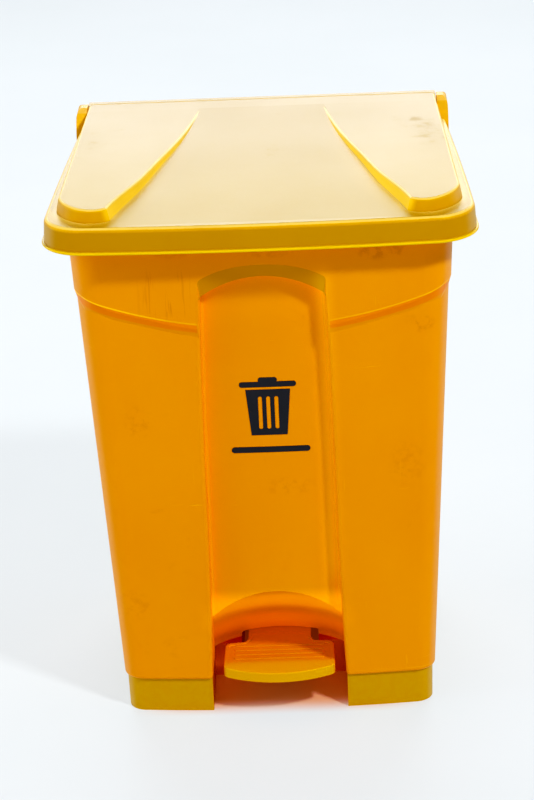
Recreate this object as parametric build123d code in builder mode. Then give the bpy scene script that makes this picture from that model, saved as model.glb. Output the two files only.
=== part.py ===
from build123d import *
import math
import os

os.makedirs("parts", exist_ok=True)

# ---------------------------------------------------------------- dimensions
# Millimetres. +Z up, the front of the bin faces -Y, and +X points to the right
# when standing in front of it. Origin on the floor under the middle of the bin.

# body shell
SEAM_Z = 45.0            # top of the foot ring, bottom of the body
RIM_Z = 638.0            # top of the body wall
BODY_HW0, BODY_HW1 = 189.6, 217.2      # half width at the seam / at the rim
BODY_YF0, BODY_YF1 = -145.1, -172.6    # front corner line at the seam / rim
BODY_YB0, BODY_YB1 = 190.0, 200.0      # rear wall at the seam / rim
BODY_R0, BODY_R1 = 25.4, 34.5          # corner radius at the seam / rim
BOW = 9.8                # how far the front bulges forward in the middle
WALL = 3.0
BAND = 2.5               # the collar stands proud of the lower body
BAND_Z = 556.0           # ridge of the collar's lower edge at the sides
BAND_MID = 514.0         # the same ridge, carried on to the middle of the front
BAND_END = 215.5         # where the sweep of the ridge ends, at the body corners
BEVEL = 3.4              # steepness of the long bevel under that ridge
FLOOR_LO, FLOOR_HI = 78.0, 81.0        # body floor

# sunk front panel
CH_DEPTH = 16.0
CH_PTS = [(82.4, 20.0), (81.0, 50.0), (78.2, 136.0), (75.4, 345.0), (72.0, 510.0), (70.5, 552.0)]
CH_CREST = 575.5
CH_SPRING = 551.5
BROW_CREST, BROW_SPRING = 595.0, 587.0    # outline of the bevelled brow over the arch

# pedal recess
NICHE_Y = -50.0          # back wall at z = 60
NICHE_SLOPE = 98.0 / 94.0
SLOT_HW, SLOT_Z = 48.0, 60.5

# rod channel in the rear wall
ROD_CH_HW = 22.0
ROD_CH_Y = 154.0

# lid
HINGE_Y, HINGE_Z = 195.0, 655.0
BARREL_R = 12.5
LID_BOT, LID_BRIM = 616.4, 646.7
LID_YF = -197.7
LID_HWF, LID_HWM, LID_HWR = 249.3, 241.8, 229.7
LID_YR = 155.0
LID_R = 52.0
LID_T = 3.0
LID_TOP = 667.5
LID_REAR_HW = 214.7
EAR_IN, EAR_OUT = 216.0, 229.2

# linkage
AXLE_Y, AXLE_Z = 1.8, 38.0
ARM_R = 167.5
ARM_REST = 7.1
LUG_R = 34.0
LUG_A = 37.5
PIN_R = 2.5
ROD_R = 4.0
ROD_Y = AXLE_Y + ARM_R * math.cos(math.radians(ARM_REST))
ROD_Z0 = AXLE_Z - ARM_R * math.sin(math.radians(ARM_REST))
LUG_Y = HINGE_Y - LUG_R * math.cos(math.radians(LUG_A))
LUG_Z = HINGE_Z - LUG_R * math.sin(math.radians(LUG_A))


# front view: sketch x to the right, sketch y up, extrusions run forwards
FRONT = Plane(origin=(0, 0, 0), x_dir=(1, 0, 0), z_dir=(0, -1, 0))


def lerp(a, b, z):
    return a + (b - a) * (z - SEAM_Z) / (RIM_Z - SEAM_Z)


def body_section(z, inset=0.0, front=0.0, at=None):
    """Horizontal section of the body: bowed front, straight sides and rear."""
    hw = lerp(BODY_HW0, BODY_HW1, z) - inset
    yf = lerp(BODY_YF0, BODY_YF1, z) + inset + front
    yb = lerp(BODY_YB0, BODY_YB1, z) - inset
    r = max(lerp(BODY_R0, BODY_R1, z) - inset, 6.0)
    with BuildSketch(Plane.XY.offset(z if at is None else at)) as section:
        with BuildLine():
            ThreePointArc((-hw, yf), (0, yf - BOW), (hw, yf))
            Line((hw, yf), (hw, yb))
            Line((hw, yb), (-hw, yb))
            Line((-hw, yb), (-hw, yf))
        make_face()
        fillet(section.vertices(), r)
    return section.sketch


def channel_section(off, grow=0.0, round_r=0.0):
    """Front view of the sunk panel: flared sides and a shallow arch on top."""
    pts = [(x + grow, z) for x, z in CH_PTS]
    pts[-1] = (pts[-1][0], CH_SPRING)
    with BuildSketch(FRONT.offset(off)) as section:
        with BuildLine():
            Spline(*pts)
            ThreePointArc(pts[-1], (0, CH_CREST + grow), (-pts[-1][0], CH_SPRING))
            Spline(*[(-x, z) for x, z in reversed(pts)])
            Line((-pts[0][0], pts[0][1]), (pts[0][0], pts[0][1]))
        make_face()
        if round_r > 0:
            fillet(section.vertices().filter_by(lambda v: v.Y > 500), round_r)
    return section.sketch



# ---------------------------------------------------------------- body tools
with BuildPart() as lower_tool:
    add(body_section(SEAM_Z))
    add(body_section(RIM_Z))
    loft(ruled=True)

with BuildPart() as panel_back_tool:
    add(body_section(10, 0, CH_DEPTH))
    add(body_section(700, 0, CH_DEPTH))
    loft(ruled=True)

with BuildPart() as panel_cut:
    extrude(channel_section(100, round_r=5.0), amount=160, dir=(0, -1, 0))
    add(panel_back_tool.part, mode=Mode.SUBTRACT)

with BuildPart() as channel_prism:
    extrude(channel_section(0), amount=260, dir=(0, -1, 0))

with BuildPart() as channel_prism_out:
    extrude(channel_section(0, WALL), amount=260, dir=(0, -1, 0))

with BuildPart() as panel_wall_tool:
    add(body_section(10, 0, CH_DEPTH + WALL))
    add(body_section(700, 0, CH_DEPTH + WALL))
    loft(ruled=True)

with BuildPart() as panel_block:
    extrude(channel_section(100, WALL), amount=160, dir=(0, -1, 0))
    add(panel_wall_tool.part, mode=Mode.SUBTRACT)


def panel_edge(e):
    """True for the long edges round the sunk panel."""
    c = e.center()
    return abs(c.X) < 90 and 60 < c.Z < 600 and -200 < c.Y < -100


def depth_behind_face(e):
    """How far an edge's middle lies behind the line of the front corners."""
    m = e.position_at(0.5)
    return m.Y - lerp(BODY_YF0, BODY_YF1, m.Z)


def niche_section(grow=0.0):
    """Plan of the pedal recess at z = 30, shallow curved back wall."""
    shift = 30.0 / NICHE_SLOPE
    y0 = NICHE_Y + shift + grow
    half = 82.0 + grow
    y1 = y0 - 33.2
    with BuildSketch(Plane.XY.offset(30)) as section:
        with BuildLine():
            ThreePointArc((-half, y1), (0, y0), (half, y1))
            Line((half, y1), (half, -420))
            Line((half, -420), (-half, -420))
            Line((-half, -420), (-half, y1))
        make_face()
        fillet(section.vertices().sort_by(Axis.Y)[-2:], 15.0)
    return section.sketch


NICHE_DIR = (0, -94.0, 98.0)
NICHE_LEN = 200.0 * math.hypot(94.0, 98.0) / 98.0
with BuildPart() as niche_cut:
    extrude(niche_section(), amount=NICHE_LEN, dir=NICHE_DIR)
    add(channel_prism.part, mode=Mode.INTERSECT)

with BuildPart() as niche_block:
    extrude(niche_section(WALL * 1.3), amount=NICHE_LEN, dir=NICHE_DIR)
    add(channel_prism_out.part, mode=Mode.INTERSECT)

with BuildPart() as cavity:
    add(body_section(FLOOR_HI, WALL))
    add(body_section(RIM_Z + 10, WALL))
    loft(ruled=True)
    fillet(cavity.edges().group_by(Axis.Z)[0], 8.0)
    add(panel_block.part, mode=Mode.SUBTRACT)
    add(niche_block.part, mode=Mode.SUBTRACT)
    with BuildSketch(Plane.XY.offset(60)):
        with Locations((0, ROD_CH_Y - WALL + 50)):
            Rectangle(2 * (ROD_CH_HW + WALL), 100)
    extrude(amount=620, mode=Mode.SUBTRACT)

with BuildPart() as skirt_cavity:
    add(body_section(SEAM_Z + 7, WALL))
    add(body_section(FLOOR_LO, WALL))
    loft(ruled=True)
    add(body_section(SEAM_Z, 8.0, at=SEAM_Z - 5))
    extrude(amount=20)
    add(niche_block.part, mode=Mode.SUBTRACT)

def collar_plan(z):
    """Corner radius, corner centres and wall lines of the collar's outline at height z."""
    hw = lerp(BODY_HW0, BODY_HW1, z) + BAND
    yf = lerp(BODY_YF0, BODY_YF1, z) - BAND
    yb = lerp(BODY_YB0, BODY_YB1, z) + BAND
    r = lerp(BODY_R0, BODY_R1, z) + BAND
    rb = (hw * hw + BOW * BOW) / (2 * BOW)
    xc = hw - r
    front = lambda x: yf - BOW + rb - math.sqrt(rb * rb - x * x)
    return hw, yb, r, xc, front, front(xc) + r, yb - r


def ridge_z(x):
    """Height of the collar's ridge across the front."""
    rise = BAND_Z - BAND_MID
    r = (BAND_END ** 2 + rise ** 2) / (2 * rise)
    return BAND_MID + r - math.sqrt(r * r - min(abs(x), BAND_END) ** 2)


def turn(deg):
    return math.cos(math.radians(deg)), math.sin(math.radians(deg))


TURNS = [52, 40, 28, 16, 6]
# the cuts run outwards and upwards, so that they leave a bevel below the ridge
with BuildPart() as front_sweep_cut:
    hw, yb, r, xc, front, ycf, ycr = collar_plan(545)
    ridge = [(xc + r * turn(d)[1], ycf - r * turn(d)[0]) for d in reversed(TURNS)]
    ridge = [(0, front(0)), (50, front(50)), (100, front(100)), (150, front(150))] + ridge
    ridge = [(-x, y) for x, y in reversed(ridge[1:])] + ridge
    with BuildSketch(FRONT.offset(140)):
        with BuildLine():
            pts = [(x, ridge_z(x) - BEVEL * (-y - 140)) for x, y in ridge]
            Spline(*pts)
            Polyline(pts[-1], (pts[-1][0], 150), (pts[0][0], 150), pts[0])
        make_face()
    extrude(amount=70 * math.hypot(1, BEVEL), dir=(0, -1, BEVEL))

with BuildPart() as side_sweep_cut:
    hw, yb, r, xc, front, ycf, ycr = collar_plan(553)
    near = [(xc + r * turn(d)[0], ycf - r * turn(d)[1]) for d in TURNS] + [(hw, ycf)]
    far = [(hw, ycr)] + [(xc + r * turn(d)[0], ycr + r * turn(d)[1]) for d in reversed(TURNS)]
    with BuildSketch(Plane(origin=(170, 0, 0), x_dir=(0, 1, 0), z_dir=(1, 0, 0))):
        with BuildLine():
            p1 = [(y, ridge_z(x) - BEVEL * (x - 170)) for x, y in near]
            p2 = [(y, BAND_Z - BEVEL * (x - 170)) for x, y in far]
            Spline(*p1)
            Line(p1[-1], p2[0])
            Spline(*p2)
            Polyline(p2[-1], (p2[-1][0], 150), (p1[0][0], 150), p1[0])
        make_face()
    extrude(amount=70 * math.hypot(1, BEVEL), dir=(1, 0, BEVEL))

with BuildPart() as rear_sweep_cut:
    hw, yb, r, xc, front, ycf, ycr = collar_plan(556)
    half = [(xc, yb)] + [(xc + r * turn(d)[1], ycr + r * turn(d)[0]) for d in reversed(TURNS)]
    with BuildSketch(Plane(origin=(0, 150, 0), x_dir=(-1, 0, 0), z_dir=(0, 1, 0))):
        with BuildLine():
            p1 = [(x, BAND_Z - BEVEL * (y - 150)) for x, y in half]
            p2 = [(-x, z) for x, z in p1]
            Spline(*p1)
            Line(p2[0], p1[0])
            Spline(*p2)
            Polyline(p1[-1], (p1[-1][0], 150), (p2[-1][0], 150), p2[-1])
        make_face()
    extrude(amount=90 * math.hypot(1, BEVEL), dir=(0, 1, BEVEL))

# the collar: an offset of the body cut along the swoosh, beside the panel and beside the rear cover
with BuildPart() as band_tool:
    add(body_section(490, -BAND))
    add(body_section(RIM_Z, -BAND))
    loft(ruled=True)
    add(front_sweep_cut.part, mode=Mode.SUBTRACT)
    add(side_sweep_cut.part, mode=Mode.SUBTRACT)
    add(side_sweep_cut.part.mirror(Plane.YZ), mode=Mode.SUBTRACT)
    add(rear_sweep_cut.part, mode=Mode.SUBTRACT)
    extrude(channel_section(100, 2.2), amount=160, dir=(0, -1, 0), mode=Mode.SUBTRACT)
    with BuildSketch(Plane.XY.offset(480)):
        with Locations((0, 200)):
            Rectangle(2 * 34.0, 100)
    extrude(amount=200, mode=Mode.SUBTRACT)


def brow_section(off, hw, spring, crest, round_r):
    """Front view of the brow: arched top, straight sides, drawn in below."""
    with BuildSketch(FRONT.offset(off)) as section:
        with BuildLine():
            ThreePointArc((-hw, spring), (0, crest), (hw, spring))
            Polyline((hw, spring), (hw, 540), (hw - 9, 500), (9 - hw, 500), (-hw, 540), (-hw, spring))
        make_face()
        fillet(section.vertices().filter_by(lambda v: v.Y > 545), round_r)
    return section.sketch


# the brow: the collar is bevelled inwards down to the edge of the arch
with BuildPart() as brow_cut:
    add(brow_section(184.0, 74.2, BROW_SPRING, BROW_CREST, 6.0))
    add(brow_section(175.5, 70.6, CH_SPRING, CH_CREST, 5.0))
    loft(ruled=True)

# hinge lugs at the rear corners
with BuildPart() as ear_tool:
    with BuildSketch(FRONT.offset(-207)):
        with BuildLine():
            Polyline((EAR_IN, 586), (EAR_OUT, 606), (EAR_OUT, 667), (EAR_IN, 667), (EAR_IN, 586))
        make_face()
        fillet(vertices().sort_by(Axis.X)[-2:].sort_by(Axis.Y)[-1:], 8.0)
    extrude(amount=50)
    with BuildSketch(Plane.YZ.offset(200)):
        with BuildLine():
            Polyline((157, 580), (157, 640), (165, 654), (177, 663), (189, 666.6), (207, 666.6), (207, 640), (203, 580), (157, 580))
        make_face()
        fillet(vertices().filter_by(lambda v: v.Y > 641), 5.0)
    extrude(amount=40, mode=Mode.INTERSECT)
    mirror(about=Plane.YZ)

# ---------------------------------------------------------------- body shell
BASE_SCREWS = [(176, -70), (176, 125), (95, 175.5), (-176, -70), (-176, 125), (-95, 175.5)]
COVER_SCREWS = [(28.5, 92), (28.5, 572), (-28.5, 92), (-28.5, 572)]

# bosses behind the rear cover screws, trimmed to stay inside the rear wall
with BuildPart() as cover_bosses:
    add(body_section(SEAM_Z, 1.0))
    add(body_section(RIM_Z, 1.0))
    loft(ruled=True)
    with BuildSketch(FRONT.offset(-180)):
        with Locations(*COVER_SCREWS):
            Circle(5.0)
    extrude(amount=-30, mode=Mode.INTERSECT)

with BuildPart() as body_shell:
    add(lower_tool.part)
    add(panel_cut.part, mode=Mode.SUBTRACT)
    # rounded mouth of the sunk panel, rounded floor corners, rounded bottom edge
    fillet(body_shell.edges().filter_by(lambda e: panel_edge(e) and depth_behind_face(e) < -3), 4.5)
    fillet(body_shell.edges().filter_by(lambda e: panel_edge(e) and depth_behind_face(e) > 4), 4.0)
    fillet(body_shell.edges().group_by(Axis.Z)[0].filter_by(lambda e: abs(e.position_at(0.5).X) > 84), 3.0)
    add(niche_cut.part, mode=Mode.SUBTRACT)
    add(band_tool.part)
    add(brow_cut.part, mode=Mode.SUBTRACT)
    # rim flange, hidden inside the lid skirt, for the bag to be turned over
    with BuildSketch(Plane.XY.offset(RIM_Z - 6)):
        add(body_section(RIM_Z, -5.0, at=RIM_Z - 6))
        with Locations((0, 205)):
            Rectangle(600, 114, mode=Mode.SUBTRACT)
    extrude(amount=6)
    add(ear_tool.part)
    add(cavity.part, mode=Mode.SUBTRACT)
    add(skirt_cavity.part, mode=Mode.SUBTRACT)
    # open rod channel in the rear wall
    with BuildSketch(Plane.XY.offset(62)):
        with Locations((0, ROD_CH_Y + 50)):
            Rectangle(2 * ROD_CH_HW, 100)
    extrude(amount=620, mode=Mode.SUBTRACT)
    with BuildSketch(Plane.XY.offset(FLOOR_LO - 1)):
        with Locations((0, ROD_CH_Y + 14)):
            Rectangle(2 * ROD_CH_HW, 28)
    extrude(amount=10, mode=Mode.SUBTRACT)
    # pedal slot through the sloping recess wall
    with BuildSketch(FRONT.offset(20)):
        with Locations((0, (SLOT_Z + 20) / 2)):
            Rectangle(2 * SLOT_HW, SLOT_Z - 20)
        fillet(vertices().sort_by(Axis.Z)[-2:], 8.0)
    extrude(amount=70, mode=Mode.SUBTRACT)
    # bosses for the foot ring screws and the rear cover screws
    with BuildSketch(Plane.XY.offset(SEAM_Z)):
        with Locations(*BASE_SCREWS):
            Circle(7.0)
    extrude(amount=FLOOR_HI - SEAM_Z - 1)
    add(cover_bosses.part)
    with BuildSketch(Plane.XY.offset(SEAM_Z)):
        with Locations(*BASE_SCREWS):
            Circle(2.05)
    extrude(amount=18, mode=Mode.SUBTRACT)
    with BuildSketch(FRONT.offset(-180)):
        with Locations(*COVER_SCREWS):
            Circle(1.8)
    extrude(amount=-30, mode=Mode.SUBTRACT)
    # hinge pin holes
    with BuildSketch(Plane.YZ.offset(-240)):
        with Locations((HINGE_Y, HINGE_Z)):
            Circle(4.0)
    extrude(amount=480, mode=Mode.SUBTRACT)
body_shell.part.label = "body_shell"
export_step(body_shell.part, "parts/body_shell.step")

# ---------------------------------------------------------------- foot ring
with BuildPart() as base_ring:
    add(body_section(SEAM_Z, 3.8, at=0))
    add(body_section(SEAM_Z, 3.0))
    loft(ruled=True)
    # hollow inside the ring wall
    with BuildSketch(Plane.XY.offset(-5)):
        add(body_section(SEAM_Z, 8.5, at=-5))
    extrude(amount=60, mode=Mode.SUBTRACT)
    # toe gap at the front
    with BuildSketch(Plane.XY.offset(-5)):
        with Locations((0, -150)):
            Rectangle(2 * 82.0, 150)
    extrude(amount=60, mode=Mode.SUBTRACT)
    # gap side walls, the cross walls behind them and the two long beams
    with BuildSketch(Plane.XY):
        with Locations((84.0, -100.5), (-84.0, -100.5)):
            Rectangle(4.0, 85.0)
        with Locations((68.0, -60.0), (-68.0, -60.0)):
            Rectangle(36.0, 4.0)
        with Locations((52.0, 61.0), (-52.0, 61.0)):
            Rectangle(8.0, 246.0)
        with Locations((120.0, AXLE_Y), (-120.0, AXLE_Y)):
            Rectangle(130.0, 6.0)
    extrude(amount=SEAM_Z - 4.0)
    # cap plates over the two feet, with the screw bosses
    with BuildSketch(Plane.XY.offset(SEAM_Z - 4.0)):
        add(body_section(SEAM_Z, 7.0, at=SEAM_Z - 4.0))
        with Locations((0, 50)):
            Rectangle(2 * 48.0, 600, mode=Mode.SUBTRACT)
        with Locations((0, -150)):
            Rectangle(2 * 82.0, 176, mode=Mode.SUBTRACT)
        with Locations((110, 20), (-110, 20), (110, 115), (-110, 115)):
            Rectangle(84, 70, mode=Mode.SUBTRACT)
    extrude(amount=4.0)
    with BuildSketch(Plane.XY.offset(SEAM_Z - 16.0)):
        with Locations(*BASE_SCREWS):
            Circle(7.0)
    extrude(amount=15.0)
    with BuildSketch(Plane.XY.offset(-5)):
        with Locations(*BASE_SCREWS):
            Circle(2.3)
    extrude(amount=60, mode=Mode.SUBTRACT)
    # bearing bosses on the beams
    with BuildSketch(Plane.YZ.offset(48.0)):
        with Locations((AXLE_Y, AXLE_Z)):
            Circle(10.0)
    extrude(amount=8.0)
    with BuildSketch(Plane.YZ.offset(-56.0)):
        with Locations((AXLE_Y, AXLE_Z)):
            Circle(10.0)
    extrude(amount=8.0)
    with BuildSketch(Plane.YZ.offset(-70.0)):
        with Locations((AXLE_Y, AXLE_Z)):
            Circle(6.0)
    extrude(amount=140.0, mode=Mode.SUBTRACT)
    with BuildSketch(Plane.XY.offset(20.0)):
        with Locations((64.0, AXLE_Y), (-64.0, AXLE_Y)):
            Rectangle(16.0, 24.0)
    extrude(amount=40.0, mode=Mode.SUBTRACT)
base_ring.part.label = "base_ring"
export_step(base_ring.part, "parts/base_ring.step")

with BuildPart() as base_screws:
    for x, y in BASE_SCREWS:
        with BuildSketch(Plane.XY.offset(SEAM_Z - 16.0)):
            with Locations((x, y)):
                Circle(2.0)
        extrude(amount=33.0)
        with BuildSketch(Plane.XY.offset(SEAM_Z - 19.0)):
            with Locations((x, y)):
                Circle(4.2)
        extrude(amount=3.0)
        with BuildSketch(Plane.XY.offset(SEAM_Z - 19.0)):
            with Locations((x, y)):
                Rectangle(5.6, 1.1)
                Rectangle(1.1, 5.6)
        extrude(amount=1.6, mode=Mode.SUBTRACT)
base_screws.part.label = "base_screws"
export_step(base_screws.part, "parts/base_screws.step")

# ---------------------------------------------------------------- rear cover
COVER_Z0, COVER_Z1, COVER_HW = 64.0, 600.0, 33.0
with BuildPart() as rear_cover:
    add(body_section(20, -3.0))
    add(body_section(700, -3.0))
    loft(ruled=True)
    add(body_section(20, 0.0))
    add(body_section(700, 0.0))
    loft(ruled=True, mode=Mode.SUBTRACT)
    with BuildSketch(FRONT.offset(-150)):
        with Locations((0, (COVER_Z0 + COVER_Z1) / 2)):
            RectangleRounded(2 * COVER_HW, COVER_Z1 - COVER_Z0, 6.0)
    extrude(amount=-80, mode=Mode.INTERSECT)
    with BuildSketch(FRONT.offset(-150)):
        with Locations(*COVER_SCREWS):
            Circle(2.1)
    extrude(amount=-80, mode=Mode.SUBTRACT)
    # two stiffening ribs that reach into the channel
    with BuildSketch(Plane.XY.offset(110)):
        with Locations((14.0, 187.5), (-14.0, 187.5)):
            Rectangle(2.4, 9.0)
    extrude(amount=440)
rear_cover.part.label = "rear_cover"
export_step(rear_cover.part, "parts/rear_cover.step")

with BuildPart() as rear_cover_screws:
    for x, z in COVER_SCREWS:
        face_y = lerp(BODY_YB0, BODY_YB1, z) + 3.08
        with BuildSketch(FRONT.offset(-(face_y - 13.0))):
            with Locations((x, z)):
                Circle(1.75)
        extrude(amount=-13.0)
        with BuildSketch(FRONT.offset(-face_y)):
            with Locations((x, z)):
                Circle(3.6)
        extrude(amount=-2.2, taper=18)
        with BuildSketch(FRONT.offset(-(face_y + 2.2))):
            with Locations((x, z)):
                Rectangle(4.0, 0.9)
                Rectangle(0.9, 4.0)
        extrude(amount=1.2, mode=Mode.SUBTRACT)
rear_cover_screws.part.label = "rear_cover_screws"
export_step(rear_cover_screws.part, "parts/rear_cover_screws.step")

# ---------------------------------------------------------------- lid


def lid_section(at, inset=0.0, grow_rear=0.0):
    """Plan of the lid rim: bowed front, big front corners, sides closing rearwards."""
    with BuildSketch(Plane.XY.offset(at)) as section:
        with BuildLine():
            yf = LID_YF + inset
            yr = LID_YR - grow_rear
            ThreePointArc((-LID_HWF + inset, yf), (0, yf - BOW), (LID_HWF - inset, yf))
            ThreePointArc((LID_HWF - inset, yf), (LID_HWM - inset, -33), (LID_HWR - inset, yr))
            Line((LID_HWR - inset, yr), (-LID_HWR + inset, yr))
            ThreePointArc((-LID_HWR + inset, yr), (-LID_HWM + inset, -33), (-LID_HWF + inset, yf))
        make_face()
        fillet(section.vertices().sort_by(Axis.Y)[:2], LID_R - inset)
    return section.sketch


# the two raised side plateaus, outline of the top edge and of the foot
WING_IN_TOP = [(173, -170), (161, -133), (144.5, -95), (120, -21), (98.5, 49), (84, 110), (69, 195)]
WING_IN_LOW = [(164.5, -176), (151.5, -138), (136, -96), (115, -22), (95.0, 48), (81.5, 109), (67, 195)]


def wing_section(at, inner, front, outer_front, outer_rear, shrink=0.0):
    inner = [(x + shrink, y + (shrink if i == 0 else 0)) for i, (x, y) in enumerate(inner)]
    with BuildSketch(Plane.XY.offset(at)) as section:
        with BuildLine():
            Spline(*inner)
            Line(inner[-1], (outer_rear[0] - shrink, inner[-1][1]))
            Line((outer_rear[0] - shrink, inner[-1][1]), (outer_front[0] - shrink, outer_front[1]))
            Spline((outer_front[0] - shrink, outer_front[1]), (front[1][0] - shrink * 0.8, front[1][1] + shrink * 0.6),
                   (front[0][0], front[0][1] + shrink), inner[0])
        make_face()
    return section.sketch


WING_LOW_FRONT = [(190, -181.5), (217, -166)]
WING_TOP_FRONT = [(187, -176.5), (212, -160)]

with BuildPart() as wing_tool:
    add(wing_section(640, WING_IN_LOW, WING_LOW_FRONT, (231.5, -130), (218.5, 195)))
    add(wing_section(674, WING_IN_TOP, WING_TOP_FRONT, (224.5, -123), (213.0, 195)))
    loft(ruled=True)
    with BuildSketch(Plane.YZ.offset(0)):
        with BuildLine():
            Polyline((-260, 660.6), (167, LID_TOP), (260, LID_TOP), (260, 720), (-260, 720), (-260, 660.6))
        make_face()
    extrude(amount=300, mode=Mode.SUBTRACT)
    # rounded shoulder along the top edge
    fillet(
        wing_tool.edges()
        .filter_by(lambda e: e.position_at(0.5).Z > 656 and e.position_at(0.5).Y < 194)
        .filter_by(lambda e: e.geom_type != GeomType.LINE),
        4.0,
    )

with BuildPart() as wing_void:
    add(wing_section(636, WING_IN_LOW, WING_LOW_FRONT, (231.5, -130), (218.5, 195), 3.4))
    add(wing_section(674, WING_IN_TOP, WING_TOP_FRONT, (224.5, -123), (213.0, 195), 3.2))
    loft(ruled=True)
    with BuildSketch(Plane.YZ.offset(0)):
        with BuildLine():
            Polyline((-260, 657.6), (167, LID_TOP - 3), (260, LID_TOP - 3), (260, 720), (-260, 720), (-260, 657.6))
        make_face()
    extrude(amount=300, mode=Mode.SUBTRACT)

# the sloping middle of the lid and the level strip in front of the hinge
def deck_section(at, shrink=0.0):
    with BuildSketch(Plane.XY.offset(at)) as section:
        with BuildLine():
            Polyline((-180 + shrink, -190 + shrink), (180 - shrink, -190 + shrink), (205 - shrink, -171 + shrink), (221 - shrink, -128),
                     (211 - shrink, 195), (-211 + shrink, 195), (-221 + shrink, -128), (-205 + shrink, -171 + shrink), (-180 + shrink, -190 + shrink))
        make_face()
    return section.sketch


with BuildPart() as deck_tool:
    extrude(deck_section(640), amount=60, dir=(0, 0, 1))
    with BuildSketch(Plane.YZ.offset(-300)):
        with BuildLine():
            Polyline((-190, LID_BRIM), (167, LID_TOP), (260, LID_TOP), (260, 720), (-260, 720), (-260, LID_BRIM), (-190, LID_BRIM))
        make_face()
    extrude(amount=600, mode=Mode.SUBTRACT)

with BuildPart() as lid_void:
    # inside of the rim
    add(lid_section(600, 5.2, 3.0))
    add(lid_section(LID_BRIM - LID_T, 7.6, 3.0))
    loft(ruled=True)
    # under the sloping middle
    extrude(deck_section(600, 3.0), amount=100, dir=(0, 0, 1))
    with BuildSketch(Plane.YZ.offset(-300)):
        with BuildLine():
            Polyline((-190, LID_BRIM - 3), (167, LID_TOP - 3), (260, LID_TOP - 3), (260, 720), (-260, 720), (-260, LID_BRIM - 3), (-190, LID_BRIM - 3))
        make_face()
    extrude(amount=600, mode=Mode.SUBTRACT)
    add(wing_void.part)
    mirror(wing_void.part, about=Plane.YZ)
    # behind the rim: between the hinge ends, and clear of the body wall
    with BuildSketch(Plane.XY.offset(600)):
        with Locations((0, 167.5)):
            Rectangle(2 * (LID_REAR_HW - LID_T), 55)
    extrude(amount=LID_TOP - LID_T - 600)
    with BuildSketch(Plane.XY.offset(600)):
        with Locations((0, 150)):
            Rectangle(2 * 223.7, 20)
    extrude(amount=40)
    # ribs left standing: one round the body mouth, two along the middle
    with BuildSketch(Plane.XY.offset(RIM_Z + 0.4)):
        add(body_section(RIM_Z, -1.0, at=RIM_Z + 0.4))
        add(body_section(RIM_Z, 3.5, at=RIM_Z + 0.4), mode=Mode.SUBTRACT)
        with Locations((0, 200)):
            Rectangle(600, 110, mode=Mode.SUBTRACT)
        with Locations((60, -18), (-60, -18)):
            Rectangle(3.0, 320)
    extrude(amount=60, mode=Mode.SUBTRACT)

# the bead along the lower edge of the lid
with BuildPart() as bead_tool:
    add(lid_section(LID_BOT, 0.0))
    extrude(amount=3.2)
    fillet(bead_tool.edges().group_by(Axis.Z)[-1].filter_by(lambda e: e.position_at(0.5).Y < 150), 1.4)
    fillet(bead_tool.edges().group_by(Axis.Z)[0].filter_by(lambda e: e.position_at(0.5).Y < 150), 1.4)

with BuildPart() as lid_shell:
    add(lid_section(LID_BOT + 2.6, 2.5))
    add(lid_section(LID_BRIM, 4.5))
    loft(ruled=True)
    fillet(lid_shell.edges().group_by(Axis.Z)[-1].filter_by(lambda e: e.position_at(0.5).Y < 150), 5.5)
    add(bead_tool.part)
    add(deck_tool.part)
    add(wing_tool.part)
    mirror(wing_tool.part, about=Plane.YZ)
    # narrower between the hinge lugs
    with BuildSketch(Plane.XY.offset(600)):
        with Locations((LID_REAR_HW + 20, LID_YR + 50), (-LID_REAR_HW - 20, LID_YR + 50)):
            Rectangle(40, 100)
    extrude(amount=100, mode=Mode.SUBTRACT)
    add(lid_void.part, mode=Mode.SUBTRACT)
    # hinge barrel
    with BuildSketch(Plane.YZ.offset(-LID_REAR_HW)):
        with Locations((HINGE_Y, HINGE_Z)):
            Circle(BARREL_R)
    extrude(amount=2 * LID_REAR_HW)
    with BuildSketch(Plane.YZ.offset(-LID_REAR_HW)):
        with Locations((HINGE_Y + BARREL_R / 2, HINGE_Z + BARREL_R / 2)):
            Rectangle(BARREL_R, BARREL_R)
        fillet(vertices().sort_by(Axis.Y)[-2:].sort_by(Axis.Z)[-1:], 5.0)
    extrude(amount=2 * LID_REAR_HW)
    with BuildSketch(Plane.YZ.offset(-190)):
        with Locations((HINGE_Y, HINGE_Z)):
            Circle(BARREL_R - 3.0)
    extrude(amount=380, mode=Mode.SUBTRACT)
    with BuildSketch(Plane.YZ.offset(-240)):
        with Locations((HINGE_Y, HINGE_Z)):
            Circle(4.06)
    extrude(amount=480, mode=Mode.SUBTRACT)
    # bosses for the lift bracket
    with BuildSketch(Plane.XY.offset(658)):
        with Locations((17, 156), (17, 173), (-17, 156), (-17, 173)):
            Circle(4.5)
    extrude(amount=8)
    with BuildSketch(Plane.XY.offset(650)):
        with Locations((17, 156), (17, 173), (-17, 156), (-17, 173)):
            Circle(1.55)
    extrude(amount=14, mode=Mode.SUBTRACT)
lid_shell.part.label = "lid_shell"
export_step(lid_shell.part, "parts/lid_shell.step")

# ---------------------------------------------------------------- hinge pins
with BuildPart() as hinge_pin_left:
    with BuildSketch(Plane.YZ.offset(204.0)):
        with Locations((HINGE_Y, HINGE_Z)):
            Circle(4.0)
    extrude(amount=EAR_OUT - 0.6 - 204.0)
    chamfer(hinge_pin_left.edges().filter_by(GeomType.CIRCLE), 0.7)
hinge_pin_left.part.label = "hinge_pin_left"
export_step(hinge_pin_left.part, "parts/hinge_pin_left.step")

with BuildPart() as hinge_pin_right:
    mirror(hinge_pin_left.part, about=Plane.YZ)
hinge_pin_right.part.label = "hinge_pin_right"
export_step(hinge_pin_right.part, "parts/hinge_pin_right.step")

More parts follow.
